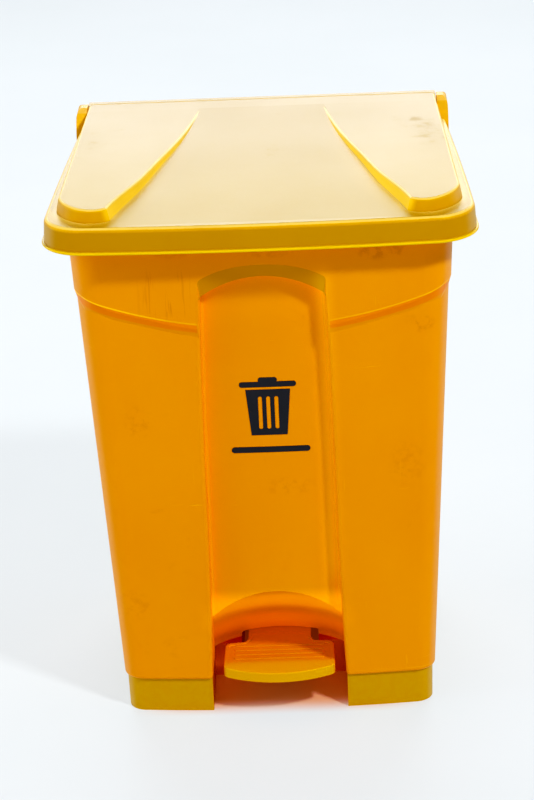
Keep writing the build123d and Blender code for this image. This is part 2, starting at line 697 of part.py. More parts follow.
# ---------------------------------------------------------------- lift bracket under the lid
SLOT_DY, SLOT_DZ = math.cos(math.radians(LUG_A)), math.sin(math.radians(LUG_A))
with BuildPart() as lid_lift_bracket:
    with BuildSketch(Plane.XY.offset(656.0)):
        with Locations((0, 165)):
            RectangleRounded(46, 29, 3.0)
    extrude(amount=2.0)
    with BuildSketch(Plane.YZ.offset(5.0)):
        with BuildLine():
            Polyline((156, 657), (181, 657), (183.5, 645), (180.5, 633.5), (172, 625.6), (164, 625.2), (159, 631), (156, 657))
        make_face()
        fillet(vertices().filter_by(lambda v: v.Z < 650), 4.0)
    extrude(amount=2.0)
    with BuildSketch(Plane.YZ.offset(-7.0)):
        with BuildLine():
            Polyline((156, 657), (181, 657), (183.5, 645), (180.5, 633.5), (172, 625.6), (164, 625.2), (159, 631), (156, 657))
        make_face()
        fillet(vertices().filter_by(lambda v: v.Z < 650), 4.0)
    extrude(amount=2.0)
    with BuildSketch(Plane.YZ.offset(-20.0)):
        with Locations((LUG_Y + 4.2 * SLOT_DY, LUG_Z + 4.2 * SLOT_DZ)):
            SlotCenterToCenter(8.4, 8.8, rotation=LUG_A)
    extrude(amount=40.0, mode=Mode.SUBTRACT)
    with BuildSketch(Plane.XY.offset(650)):
        with Locations((17, 156), (17, 173), (-17, 156), (-17, 173)):
            Circle(1.8)
    extrude(amount=14, mode=Mode.SUBTRACT)
lid_lift_bracket.part.label = "lid_lift_bracket"
export_step(lid_lift_bracket.part, "parts/lid_lift_bracket.step")

with BuildPart() as lid_bracket_screws:
    with BuildSketch(Plane.XY.offset(656.0)):
        with Locations((17, 156), (17, 173), (-17, 156), (-17, 173)):
            Circle(1.5)
    extrude(amount=7.5)
    with BuildSketch(Plane.XY.offset(654.0)):
        with Locations((17, 156), (17, 173), (-17, 156), (-17, 173)):
            Circle(3.2)
    extrude(amount=2.0)
    with BuildSketch(Plane.XY.offset(654.0)):
        with Locations((17, 156), (17, 173), (-17, 156), (-17, 173)):
            Rectangle(3.8, 0.8)
            Rectangle(0.8, 3.8)
    extrude(amount=1.1, mode=Mode.SUBTRACT)
lid_bracket_screws.part.label = "lid_bracket_screws"
export_step(lid_bracket_screws.part, "parts/lid_bracket_screws.step")

# ---------------------------------------------------------------- pedal
TREAD_TOP, TREAD_LOW = 61.0, 48.0


def tread_section(at, inset=0.0, tail=-22.0, round_r=9.0):
    with BuildSketch(Plane.XY.offset(at)) as section:
        with BuildLine():
            Polyline((-67.5 + inset, -153 + inset), (-66.5 + inset, -92.5 - inset), (-42.0, -89.5 - inset), (-38.5 + inset, -80),
                     (-38.5 + inset, tail), (38.5 - inset, tail), (38.5 - inset, -80), (42.0, -89.5 - inset),
                     (66.5 - inset, -92.5 - inset), (67.5 - inset, -153 + inset))
            ThreePointArc((67.5 - inset, -153 + inset), (0, -171.5 + inset), (-67.5 + inset, -153 + inset))
        make_face()
        fillet(section.vertices().filter_by(lambda v: v.Y < -91), max(round_r - inset, 3.0))
        fillet(section.vertices().filter_by(lambda v: -91 < v.Y < -85), 5.0)
    return section.sketch


with BuildPart() as pedal_tread:
    extrude(tread_section(TREAD_LOW), amount=TREAD_TOP - TREAD_LOW, dir=(0, 0, 1))
    fillet(pedal_tread.edges().group_by(Axis.Z)[-1].filter_by(lambda e: e.position_at(0.5).Y < -24), 1.6)
    fillet(pedal_tread.edges().group_by(Axis.Z)[0].filter_by(lambda e: e.position_at(0.5).Y < -24), 0.8)
    # hollow underneath
    extrude(tread_section(TREAD_LOW - 5, 3.0, tail=-10.0), amount=13.5, dir=(0, 0, 1), mode=Mode.SUBTRACT)
    # dished top inside a raised rim
    with BuildSketch(Plane.XY.offset(TREAD_TOP - 1.4)):
        add(tread_section(TREAD_TOP - 1.4, 4.5, tail=-10.0))
        with Locations((0, -160)):
            Rectangle(200, 38, mode=Mode.SUBTRACT)
    extrude(amount=5, mode=Mode.SUBTRACT)
    # the stem drops a little so that it passes under the top of the slot
    with BuildSketch(Plane.YZ.offset(-60)):
        with BuildLine():
            Polyline((-84, 61.2), (-62, 58.6), (-10, 58.4), (-10, 70), (-84, 70), (-84, 61.2))
        make_face()
    extrude(amount=120, mode=Mode.SUBTRACT)
    # transverse grip ribs
    with BuildSketch(Plane.XY.offset(TREAD_TOP - 1.6)):
        with Locations((0, -98), (0, -108.5), (0, -119), (0, -129.5)):
            SlotOverall(110, 4.2)
    extrude(amount=1.1)
    with BuildSketch(Plane.XY.offset(50)):
        with Locations((20, -132), (-20, -132), (20, -60), (-20, -60)):
            Circle(1.9)
    extrude(amount=8.2, mode=Mode.SUBTRACT)
pedal_tread.part.label = "pedal_tread"
export_step(pedal_tread.part, "parts/pedal_tread.step")

with BuildPart() as pedal_screws:
    with BuildSketch(Plane.XY.offset(53.5)):
        with Locations((20, -132), (-20, -132), (20, -60), (-20, -60)):
            Circle(1.85)
    extrude(amount=4.6)
    with BuildSketch(Plane.XY.offset(51.3)):
        with Locations((20, -132), (-20, -132), (20, -60), (-20, -60)):
            Circle(3.8)
    extrude(amount=2.2)
    with BuildSketch(Plane.XY.offset(51.3)):
        with Locations((20, -132), (-20, -132), (20, -60), (-20, -60)):
            Rectangle(4.4, 0.9)
            Rectangle(0.9, 4.4)
    extrude(amount=1.2, mode=Mode.SUBTRACT)
pedal_screws.part.label = "pedal_screws"
export_step(pedal_screws.part, "parts/pedal_screws.step")

# ---------------------------------------------------------------- steel lever
with BuildPart() as pedal_lever:
    # plate under the tread, cranked down to the axle tube
    with BuildSketch(Plane.YZ.offset(-30.0)):
        with BuildLine():
            Polyline((-146, 56.5), (-44, 56.5), (2, 44.4), (2, 41.3), (-44.4, 53.5), (-146, 53.5), (-146, 56.5))
        make_face()
    extrude(amount=60.0)
    for x in (-30.0, 27.0):
        with BuildSketch(Plane.YZ.offset(x)):
            with BuildLine():
                Polyline((-110, 55), (-44, 55), (2, 43), (2, 31.2), (-6, 31.6), (-46, 43.5), (-104, 48.5), (-110, 55))
            make_face()
        extrude(amount=3.0)
    with BuildSketch(Plane.YZ.offset(-46.0)):
        with Locations((AXLE_Y, AXLE_Z)):
            Circle(7.0)
    extrude(amount=92.0)
    # two flat bars back to the push rod
    for x in (-8.6, 4.6):
        with BuildSketch(Plane.YZ.offset(x)):
            with Locations(((AXLE_Y + ROD_Y) / 2, (AXLE_Z + ROD_Z0) / 2)):
                SlotCenterToCenter(ARM_R, 14.0, rotation=-ARM_REST)
        extrude(amount=4.0)
    with BuildSketch(Plane.YZ.offset(-5.0)):
        with Locations(((AXLE_Y + ROD_Y) / 2 + 8, (AXLE_Z + ROD_Z0) / 2 - 1.0)):
            Rectangle(18, 8, rotation=-ARM_REST)
    extrude(amount=10.0)
    with BuildSketch(Plane.YZ.offset(-60.0)):
        with Locations((AXLE_Y, AXLE_Z)):
            Circle(4.0)
    extrude(amount=120.0, mode=Mode.SUBTRACT)
    with BuildSketch(Plane.YZ.offset(-20.0)):
        with Locations((ROD_Y, ROD_Z0)):
            Circle(PIN_R)
    extrude(amount=40.0, mode=Mode.SUBTRACT)
    with BuildSketch(Plane.XY.offset(50)):
        with Locations((20, -132), (-20, -132), (20, -60), (-20, -60)):
            Circle(2.1)
    extrude(amount=10.0, mode=Mode.SUBTRACT)
    fillet(pedal_lever.edges().filter_by(Axis.Z).group_by(Axis.Y)[0], 6.0)
pedal_lever.part.label = "pedal_lever"
export_step(pedal_lever.part, "parts/pedal_lever.step")

with BuildPart() as lever_axle:
    with BuildSketch(Plane.YZ.offset(-61.0)):
        with Locations((AXLE_Y, AXLE_Z)):
            Circle(4.0)
    extrude(amount=122.0)
    for x in (-59.6, 58.4):
        with BuildSketch(Plane.YZ.offset(x)):
            with Locations((AXLE_Y, AXLE_Z)):
                Circle(4.5)
                Circle(3.2, mode=Mode.SUBTRACT)
        extrude(amount=1.2, mode=Mode.SUBTRACT)
    chamfer(lever_axle.edges().group_by(Axis.X)[0], 0.6)
    chamfer(lever_axle.edges().group_by(Axis.X)[-1], 0.6)
lever_axle.part.label = "lever_axle"
export_step(lever_axle.part, "parts/lever_axle.step")

with BuildPart() as axle_clips:
    for x in (-59.5, 58.5):
        with BuildSketch(Plane.YZ.offset(x)):
            with Locations((AXLE_Y, AXLE_Z)):
                Circle(7.2)
                Circle(3.25, mode=Mode.SUBTRACT)
            with Locations((AXLE_Y, AXLE_Z - 6)):
                Rectangle(4.6, 9.0, mode=Mode.SUBTRACT)
        extrude(amount=1.0)
axle_clips.part.label = "axle_clips"
export_step(axle_clips.part, "parts/axle_clips.step")

with BuildPart() as axle_bushes:
    for x, fx in ((48.0, 56.0), (-56.0, -57.2)):
        with BuildSketch(Plane.YZ.offset(x)):
            with Locations((AXLE_Y, AXLE_Z)):
                Circle(6.0)
        extrude(amount=8.0)
        with BuildSketch(Plane.YZ.offset(fx)):
            with Locations((AXLE_Y, AXLE_Z)):
                Circle(8.2)
        extrude(amount=1.2)
    with BuildSketch(Plane.YZ.offset(-70.0)):
        with Locations((AXLE_Y, AXLE_Z)):
            Circle(4.05)
    extrude(amount=140.0, mode=Mode.SUBTRACT)
axle_bushes.part.label = "axle_bushes"
export_step(axle_bushes.part, "parts/axle_bushes.step")

# ---------------------------------------------------------------- push rod
with BuildPart() as push_rod:
    with BuildSketch(Plane.XY.offset(ROD_Z0 + 3.0)):
        with Locations((0, ROD_Y)):
            Circle(ROD_R)
    extrude(amount=LUG_Z - ROD_Z0 - 6.0)
    for z in (ROD_Z0, LUG_Z):
        with BuildSketch(Plane.YZ.offset(-ROD_R)):
            with Locations((ROD_Y, z)):
                Circle(6.2)
            with Locations((ROD_Y, z + (6.0 if z < 100 else -6.0))):
                Rectangle(8.0, 14.0)
        extrude(amount=2 * ROD_R)
    with BuildSketch(Plane.YZ.offset(-20.0)):
        with Locations((ROD_Y, ROD_Z0)):
            Circle(PIN_R + 0.06)
        with Locations((ROD_Y, LUG_Z)):
            Circle(PIN_R)
    extrude(amount=40.0, mode=Mode.SUBTRACT)
push_rod.part.label = "push_rod"
export_step(push_rod.part, "parts/push_rod.step")

with BuildPart() as rod_lower_pin:
    with BuildSketch(Plane.YZ.offset(-8.6)):
        with Locations((ROD_Y, ROD_Z0)):
            Circle(PIN_R)
    extrude(amount=20.2)
    with BuildSketch(Plane.YZ.offset(-10.4)):
        with Locations((ROD_Y, ROD_Z0)):
            Circle(4.4)
    extrude(amount=1.8)
    with BuildSketch(Plane.YZ.offset(9.3)):
        with Locations((ROD_Y, ROD_Z0)):
            Circle(3.0)
            Circle(1.9, mode=Mode.SUBTRACT)
    extrude(amount=1.0, mode=Mode.SUBTRACT)
rod_lower_pin.part.label = "rod_lower_pin"
export_step(rod_lower_pin.part, "parts/rod_lower_pin.step")

with BuildPart() as rod_lower_clip:
    with BuildSketch(Plane.YZ.offset(9.4)):
        with Locations((ROD_Y, ROD_Z0)):
            Circle(4.8)
            Circle(1.95, mode=Mode.SUBTRACT)
        with Locations((ROD_Y, ROD_Z0 - 4.0)):
            Rectangle(2.8, 6.0, mode=Mode.SUBTRACT)
    extrude(amount=0.8)
rod_lower_clip.part.label = "rod_lower_clip"
export_step(rod_lower_clip.part, "parts/rod_lower_clip.step")

with BuildPart() as rod_upper_pin:
    with BuildSketch(Plane.YZ.offset(-7.6)):
        with Locations((ROD_Y, LUG_Z)):
            Circle(PIN_R)
    extrude(amount=18.2)
    with BuildSketch(Plane.YZ.offset(-9.2)):
        with Locations((ROD_Y, LUG_Z)):
            Circle(6.0)
    extrude(amount=1.6)
    with BuildSketch(Plane.YZ.offset(8.6)):
        with Locations((ROD_Y, LUG_Z)):
            Circle(3.0)
            Circle(1.9, mode=Mode.SUBTRACT)
    extrude(amount=1.0, mode=Mode.SUBTRACT)
rod_upper_pin.part.label = "rod_upper_pin"
export_step(rod_upper_pin.part, "parts/rod_upper_pin.step")

with BuildPart() as rod_upper_washer:
    with BuildSketch(Plane.YZ.offset(7.6)):
        with Locations((ROD_Y, LUG_Z)):
            Circle(6.0)
            Circle(PIN_R + 0.05, mode=Mode.SUBTRACT)
    extrude(amount=0.9)
rod_upper_washer.part.label = "rod_upper_washer"
export_step(rod_upper_washer.part, "parts/rod_upper_washer.step")

with BuildPart() as rod_upper_clip:
    with BuildSketch(Plane.YZ.offset(8.7)):
        with Locations((ROD_Y, LUG_Z)):
            Circle(4.8)
            Circle(1.95, mode=Mode.SUBTRACT)
        with Locations((ROD_Y, LUG_Z - 4.0)):
            Rectangle(2.8, 6.0, mode=Mode.SUBTRACT)
    extrude(amount=0.8)
rod_upper_clip.part.label = "rod_upper_clip"
export_step(rod_upper_clip.part, "parts/rod_upper_clip.step")

with BuildPart() as rod_guides:
    for z in (230.0, 430.0):
        with BuildSketch(Plane.XY.offset(z)):
            with Locations((0, 167.1)):
                RectangleRounded(2 * ROD_CH_HW - 0.1, 26.0, 3.0)
            with Locations((0, ROD_Y + 0.6)):
                SlotOverall(12.2, 9.2, rotation=90, mode=Mode.SUBTRACT)
        extrude(amount=12.0)
rod_guides.part.label = "rod_guides"
export_step(rod_guides.part, "parts/rod_guides.step")

# ---------------------------------------------------------------- front mark
MARK_T = 0.4
with BuildPart() as front_mark:
    add(body_section(10, 0, CH_DEPTH - MARK_T))
    add(body_section(700, 0, CH_DEPTH - MARK_T))
    loft(ruled=True)
    add(body_section(10, 0, CH_DEPTH))
    add(body_section(700, 0, CH_DEPTH))
    loft(ruled=True, mode=Mode.SUBTRACT)
    with BuildSketch(FRONT.offset(120)):
        # a plain bin with a lid and a handle, and a plain bar below it
        with BuildLine():
            Polyline((-25, 428), (27, 428), (22, 369), (-20, 369), (-25, 428))
        make_face()
        with Locations((1, 434.5)):
            RectangleRounded(66, 7, 3.0)
        with Locations((1, 440)):
            RectangleRounded(22, 7, 3.0)
        with Locations((-8.5, 398), (10.5, 398)):
            RectangleRounded(4.6, 42, 2.2, mode=Mode.SUBTRACT)
        with Locations((1, 398)):
            RectangleRounded(4.6, 42, 2.2, mode=Mode.SUBTRACT)
        with Locations((1.8, 350)):
            RectangleRounded(92, 7.5, 3.6)
    extrude(amount=80, mode=Mode.INTERSECT)
front_mark.part.label = "front_mark"
export_step(front_mark.part, "parts/front_mark.step")
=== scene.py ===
# Pedal bin in moulded orange plastic, with steel linkage, nylon bushes and a printed mark.
# It stands upright on z = 0 with its front towards -Y, its lid hinge towards +Y and x = 0
# at mid width. The pieces come from the CAD; this file adds materials, floor, light and camera.
import bpy, bmesh, math
from functools import cached_property, reduce
from mathutils import Vector, Matrix


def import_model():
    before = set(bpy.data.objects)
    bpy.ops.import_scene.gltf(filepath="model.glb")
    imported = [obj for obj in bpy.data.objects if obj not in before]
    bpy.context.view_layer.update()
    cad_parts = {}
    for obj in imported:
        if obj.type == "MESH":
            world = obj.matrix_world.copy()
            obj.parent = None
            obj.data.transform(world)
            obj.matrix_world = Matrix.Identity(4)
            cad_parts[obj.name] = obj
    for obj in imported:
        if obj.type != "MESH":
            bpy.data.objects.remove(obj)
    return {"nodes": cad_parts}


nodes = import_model()["nodes"]
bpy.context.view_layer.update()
scene = bpy.context.scene

# Floor sheet
FLOOR_X = (-7, -3, 0, 3, 7)
FLOOR_Y = (-14.0, -6.0, -2.0, 0.0, 2.0)
COVE_START = 4.6  # y where the floor begins to curve up
COVE_RADIUS = 1.6
COVE_STEPS = 12
BACKDROP_TOP = 6.0

# Collar ridge: an arc across the front of the body, lowest at mid width
RIDGE_LOW = 0.514
RIDGE_RADIUS = 0.5739

# Handled patches on the front of the body: centre x, centre z, half width, half height, strength
HANDLED_PATCHES = (
    (0.128, 0.602, 0.018, 0.010, 0.55), (0.152, 0.607, 0.014, 0.012, 0.50),
    (0.182, 0.508, 0.013, 0.010, 0.45), (0.010, 0.607, 0.030, 0.007, 0.35),
    (-0.150, 0.395, 0.016, 0.020, 0.30), (0.022, 0.300, 0.030, 0.012, 0.25),
    (-0.100, 0.610, 0.020, 0.008, 0.30), (0.160, 0.330, 0.020, 0.030, 0.22),
    (-0.170, 0.150, 0.020, 0.020, 0.25),
)

# Camera
CAMERA_PLACE = (0.0809835, -3.0429832, 1.6766846)
CAMERA_PITCH = math.radians(23.61235)  # downwards
CAMERA_YAW = math.radians(-1.61361)
CAMERA_ROLL = math.radians(-2.58745)
FOCAL_LENGTH = 122.4306495  # mm
SENSOR_WIDTH = 36.0  # mm

# Tone curve, as input and output: a soft toe in the darks, straight above
TONE_CURVE = (
    (0.03, 0.004), (0.10, 0.052), (0.20, 0.138), (0.30, 0.258), (0.45, 0.44), (0.70, 0.71),
)


# ------------------------------------------------------------------ node helpers
class Nodes:
    """An emptied node tree, and a short way to fill it."""

    def __init__(self, owner):
        owner.use_nodes = True
        self.tree = owner.node_tree
        self.tree.nodes.clear()

    def plug(self, socket, value):
        """Links an output to the socket, or sets the socket to a value."""
        if isinstance(value, bpy.types.NodeSocket):
            self.tree.links.new(value, socket)
            return
        if socket.type == "RGBA" and len(value) == 3:
            value = (*value, 1)
        socket.default_value = value

    def node(self, kind, inputs=None, **settings):
        """Adds a shader node; inputs maps socket names or numbers to values or outputs."""
        node = self.tree.nodes.new("ShaderNode" + kind)
        for name, value in settings.items():
            setattr(node, name, value)
        for socket, value in (inputs or {}).items():
            self.plug(node.inputs[socket], value)
        return node


class Material(Nodes):
    """A principled material, with the patterns and masks it is built from."""

    def __init__(self, name):
        self.data = bpy.data.materials.new(name)
        super().__init__(self.data)
        self.shader = self.node("BsdfPrincipled")
        self.node("OutputMaterial", {0: self.shader.outputs[0]})
        self.place = self.node("TexCoord").outputs["Object"]

    @cached_property
    def axes(self):
        return self.split(self.place)

    @cached_property
    def geometry(self):
        return self.node("NewGeometry").outputs

    def set(self, name, value):
        self.plug(self.shader.inputs[name], value)

    def glow(self, color, strength):
        self.set("Emission Color", color)
        self.set("Emission Strength", strength)

    def subsurface(self, weight, radius):
        self.set("Subsurface Weight", weight)
        self.set("Subsurface Radius", radius)
        self.set("Subsurface Scale", 1.0)

    # Arithmetic
    def math(self, operation, a, b=0.0, clamp=False):
        inputs = {0: a, 1: b, 2: 0.0}
        return self.node("Math", inputs, operation=operation, use_clamp=clamp).outputs[0]

    def times(self, *factors):
        return reduce(lambda a, b: self.math("MULTIPLY", a, b), factors)

    def plus(self, *terms):
        return reduce(lambda a, b: self.math("ADD", a, b), terms)

    def minus(self, a, b):
        return self.math("SUBTRACT", a, b)

    def vary(self, base, by, spread, centre=None):
        """The base plus spread times a pattern, which may be taken about its centre."""
        if centre is not None:
            by = self.minus(by, centre)
        return self.plus(base, self.times(by, spread))

    def weigh(self, a, b, share):
        """Weighted mean, with the given share of a."""
        return self.plus(self.times(a, share), self.times(b, 1 - share))

    def split(self, vector):
        return self.node("SeparateXYZ", {0: vector}).outputs

    # Patterns
    def noise(self, scale, detail=2.0, rough=0.5, distortion=0.0, stretch=None):
        vector = self.place
        if stretch:
            inputs = {0: vector, 1: stretch}
            vector = self.node("VectorMath", inputs, operation="MULTIPLY").outputs[0]
        return self.node("TexNoise", {
            "Vector": vector, "Scale": scale, "Detail": detail,
            "Roughness": rough, "Distortion": distortion,
        }).outputs["Fac"]

    def cells(self, scale):
        return self.node("TexVoronoi", {"Vector": self.place, "Scale": scale}).outputs["Distance"]

    # Masks
    def fade(self, value, over, to=(0.0, 1.0)):
        """Smooth step between the two `to` values while value crosses `over`."""
        return self.node("MapRange", {
            "Value": value, "From Min": over[0], "From Max": over[1],
            "To Min": to[0], "To Max": to[1],
        }, interpolation_type="SMOOTHSTEP").outputs[0]

    def band(self, value, within, soft):
        """1 within the range, with soft ends."""
        low, high = within
        rise = self.fade(value, over=(low - soft, low + soft))
        fall = self.fade(value, over=(high + soft, high - soft))
        return self.math("MULTIPLY", rise, fall, clamp=True)

    def facing(self):
        """0 looking straight at the surface, 1 at a grazing angle."""
        return self.node("LayerWeight", {"Blend": 0.5}).outputs["Facing"]

    def hollow(self, reach=0.06, over=(0.12, 0.72)):
        """0 on open surfaces, 1 deep in corners and recesses."""
        openness = self.node("AmbientOcclusion", {"Distance": reach}, samples=6).outputs["AO"]
        return self.fade(self.minus(1.0, openness), over=over)

    # Colour and relief
    def mix(self, amount, a, b):
        inputs = {0: amount, 6: a, 7: b}
        return self.node("Mix", inputs, data_type="RGBA", clamp_factor=True).outputs[2]

    def stain(self, colour, mask, strength, color):
        """Lays color over the colour so far, where the mask is."""
        return self.mix(self.times(mask, strength), colour, color)

    def bump(self, height, strength, distance, normal=None):
        inputs = {"Strength": strength, "Distance": distance, "Height": height}
        if normal is not None:
            inputs["Normal"] = normal
        return self.node("Bump", inputs).outputs[0]


def shift(color, red, green, blue):
    """Scales red and green and adds to blue, which starts near zero in these oranges."""
    return (color[0] * red, color[1] * green, color[2] + blue)


# ------------------------------------------------------------------ moulded plastic
def moulded(name, base, deep, marks, smudge, rough=0.40, wear=0.5, scratch=0.5, sheen=0.2,
            hollow=1.0, pale=None):
    """Polypropylene with erosion grain, flow marks, smudges, scratches and paler edges, and a
    painted deeper orange shade in its hollows.

    base and deep are its two tones; smudge, wear and scratch are strengths, and hollow is the
    strength of the painted shade in the hollows;
    pale holds the front and back... tints of the glancing sheen; marks(m, colour) adds what
    belongs to one part.
    """
    m = Material(name)
    # slow tone changes and vertical flow marks
    slow = m.noise(scale=5.5, detail=3.0, rough=0.55)
    flow = m.noise(scale=9.0, detail=3.0, rough=0.6, stretch=(1.0, 1.0, 0.22))
    tone = m.weigh(slow, flow, share=0.6)
    colour = m.mix(m.fade(tone, over=(0.36, 0.66)), deep, base)
    # speckle of the erosion grain
    speck = m.fade(m.noise(scale=900.0, rough=0.6), over=(0.35, 0.75), to=(0.0, 0.10))
    colour = m.mix(speck, colour, shift(base, red=1.08, green=1.12, blue=0.004))
    # rubbed dirty smudges, in soft patches
    broad = m.noise(scale=13.0, detail=5.0, rough=0.62, distortion=0.6)
    broken = m.noise(scale=70.0, detail=3.0, rough=0.6)
    patch = m.math("MULTIPLY", m.fade(broad, over=(0.60, 0.76)),
                   m.fade(broken, over=(0.38, 0.66)), clamp=True)
    colour = m.stain(colour, patch, strength=smudge,
                     color=shift(deep, red=0.55, green=0.52, blue=0.004))
    # fine scratches: noise stretched upright and level
    upright = m.noise(scale=60.0, stretch=(6.0, 6.0, 0.35), distortion=0.4)
    level = m.noise(scale=55.0, stretch=(0.4, 0.4, 6.0), distortion=0.5)
    gate = m.fade(m.noise(scale=7.0), over=(0.50, 0.66))
    lines = m.math("MAXIMUM", m.fade(upright, over=(0.71, 0.74)),
                   m.fade(level, over=(0.72, 0.75)))
    scratches = m.times(lines, gate)
    colour = m.stain(colour, scratches, strength=scratch * 0.5,
                     color=shift(base, red=1.2, green=1.5, blue=0.05))
    # paler rubbed edges
    edge = m.times(
        m.fade(m.geometry["Pointiness"], over=(0.515, 0.60)),
        m.fade(m.noise(scale=160.0, detail=3.0), over=(0.30, 0.65), to=(0.35, 1.0)))
    colour = m.stain(colour, edge, strength=wear,
                     color=shift(base, red=1.10, green=1.45, blue=0.012))
    # painted shade: a deeper orange laid into the hollows by an occlusion mask, standing in for
    # light bounced about in them
    if hollow > 0:
        m.hollows = m.times(m.hollow(), hollow)
        colour = m.mix(m.hollows, colour, shift(base, red=1.40, green=1.14, blue=0.0))
    m.set("Base Color", marks(m, colour))
    rough = m.vary(base=rough, by=tone, spread=0.16, centre=0.5)
    m.set("Roughness", m.vary(base=rough, by=patch, spread=0.14))
    # the sheen is warm head-on and pale at a glancing angle
    glancing = m.fade(m.facing(), over=(0.30, 0.58))
    m.set("IOR", 1.45)
    glancing_tint = (1.0, 1.0, 1.0)
    if pale:
        back_tint, front_tint = pale
        glancing_tint = m.mix(m.fade(m.axes[1], over=(0.16, -0.17)), back_tint, front_tint)
    m.set("Specular Tint", m.mix(glancing, (1.0, 0.66, 0.0), glancing_tint))
    m.set("Specular IOR Level", m.vary(base=0.45, by=glancing, spread=sheen))
    m.subsurface(weight=0.04, radius=(0.004, 0.0018, 0.0004))
    # relief: grain, slow waves, then the scratches cut in
    grain = m.weigh(m.cells(scale=1300.0), m.noise(scale=2100.0), share=0.6)
    normal = m.bump(grain, strength=0.16, distance=0.0004)
    normal = m.bump(m.noise(scale=16.0), strength=0.05, distance=0.006, normal=normal)
    cut = m.times(scratches, -1.0)
    m.set("Normal", m.bump(cut, strength=0.18, distance=0.0003, normal=normal))
    return m.data


def ridge_light_and_shade(m, colour, front, off_centre):
    """Painted highlight along the collar ridge, and painted deeper shade below it."""
    x, y, z = m.axes
    drop = m.math("SQRT", m.minus(RIDGE_RADIUS * RIDGE_RADIUS, m.times(x, x)))
    above = m.minus(z, m.minus(RIDGE_LOW + RIDGE_RADIUS, drop))
    beside_panel = m.times(front, m.fade(off_centre, over=(0.0745, 0.0765)))
    # painted highlight: a pale line along the top of the ridge, stronger on the left
    ridge_highlight = m.times(
        m.band(above, within=(0.0002, 0.0019), soft=0.0005),
        m.fade(m.noise(scale=30.0), over=(0.25, 0.60), to=(0.45, 1.0)),
        beside_panel,
        m.fade(off_centre, over=(0.06, 0.21), to=(0.35, 1.0)),
        m.fade(x, over=(0.20, -0.06), to=(0.45, 1.0)))
    colour = m.stain(colour, ridge_highlight, strength=0.75, color=(0.99, 0.56, 0.03))
    # painted shade: a deeper orange band below the ridge step
    shade_below = m.times(m.band(above, within=(-0.0095, -0.0003), soft=0.0006), beside_panel)
    return m.stain(colour, shade_below, strength=0.55, color=(0.70, 0.165, 0.0))


def painted_brow_shade(m, colour, off_centre):
    """Painted shade on the bevelled face over the arch, which faces down: a darker, greyer
    orange.
    """
    x, y, z = m.axes
    normal_z = m.split(m.geometry["Normal"])[2]
    brow_shade_mask = m.times(
        m.band(normal_z, within=(-0.62, -0.15), soft=0.07),
        m.fade(off_centre, over=(0.0765, 0.0735)),
        m.fade(z, over=(0.546, 0.549)))
    limits = m.times(m.fade(y, over=(-0.172, -0.1735)), m.fade(z, over=(0.600, 0.590)))
    # painted shade: the downward faces over the arch turned darker and greyer
    return m.stain(colour, m.times(brow_shade_mask, limits), strength=0.9, color=(0.46, 0.215, 0.0))


def handled_marks(m, colour, front):
    """Brownish handled patches, broken up by noise."""
    x, y, z = m.axes
    grime = m.noise(scale=110.0, detail=4.0, rough=0.62, distortion=0.1)
    grime = m.fade(grime, over=(0.42, 0.66))
    patches = []
    for centre_x, centre_z, half_width, half_height, strength in HANDLED_PATCHES:
        across = m.math("DIVIDE", m.minus(x, centre_x), half_width)
        along = m.math("DIVIDE", m.minus(z, centre_z), half_height)
        distance = m.plus(m.times(across, across), m.times(along, along))
        patches.append(m.fade(distance, over=(1.6, 0.1), to=(0.0, strength)))
    handled = reduce(lambda a, b: m.math("MAXIMUM", a, b), patches)
    return m.stain(colour, m.times(handled, grime, front), strength=0.62,
                   color=(0.30, 0.085, 0.002))


def body_glow(m, front, off_centre, beside_hinge):
    """Painted glow: emission standing in for light scattered inside the pedal recess, down the
    right wall of the sunk panel, at the panel top and in the hollows.
    """
    x, y, z = m.axes
    fore = m.fade(y, over=(0.06, 0.02))
    recess = m.times(
        m.fade(z, over=(0.150, 0.120)),
        m.fade(off_centre, over=(0.100, 0.085)),
        m.hollows,
        m.fade(z, over=(0.050, 0.095), to=(0.25, 1.0)),
        fore)
    wall = m.times(
        m.band(x, within=(0.060, 0.0775), soft=0.010),
        front,
        m.fade(z, over=(0.600, 0.560)),
        m.fade(z, over=(0.12, 0.20)))
    panel_top = m.times(
        m.fade(z, over=(0.500, 0.545)),
        m.fade(off_centre, over=(0.076, 0.070)),
        m.fade(y, over=(-0.173, -0.167)))
    crown = m.times(
        m.band(z, within=(0.118, 0.152), soft=0.012),
        m.times(m.fade(off_centre, over=(0.100, 0.080)), m.fade(y, over=(-0.160, -0.145))))
    # the last factor of each term is the strength of its glow
    glow = m.plus(
        m.times(m.hollows, 0.10),
        m.times(recess, 0.18),
        m.times(crown, fore, 0.36),
        m.plus(m.times(wall, 0.12), m.times(panel_top, front, 0.03)))
    m.glow(color=m.mix(wall, (1.0, 0.34, 0.0), (1.0, 0.66, 0.0)),
           strength=m.times(glow, m.minus(1.0, beside_hinge)))


def body_marks(m, colour):
    x, y, z = m.axes
    front = m.fade(y, over=(-0.10, -0.13))
    off_centre = m.math("ABSOLUTE", x)
    colour = ridge_light_and_shade(m, colour, front, off_centre)
    colour = painted_brow_shade(m, colour, off_centre)
    colour = handled_marks(m, colour, front)
    # the lugs beside the hinge stand in full light
    beside_hinge = m.times(
        m.fade(z, over=(0.565, 0.600)),
        m.times(m.fade(y, over=(0.140, 0.150)), m.fade(off_centre, over=(0.2130, 0.2175))))
    body_glow(m, front, off_centre, beside_hinge)
    lug = m.times(m.fade(z, over=(0.590, 0.635)), beside_hinge)
    colour = m.stain(colour, lug, strength=0.85, color=(0.74, 0.42, 0.03))
    # faint vertical rub lines on the left of the collar
    streaks = m.noise(scale=260.0, stretch=(1.0, 1.0, 0.05), distortion=0.25)
    streaked = m.times(m.band(x, within=(-0.135, -0.085), soft=0.015),
                       m.band(z, within=(0.530, 0.585), soft=0.012))
    lines = m.times(m.fade(streaks, over=(0.56, 0.64)), streaked, front)
    return m.stain(colour, lines, strength=0.40, color=(0.42, 0.14, 0.002))


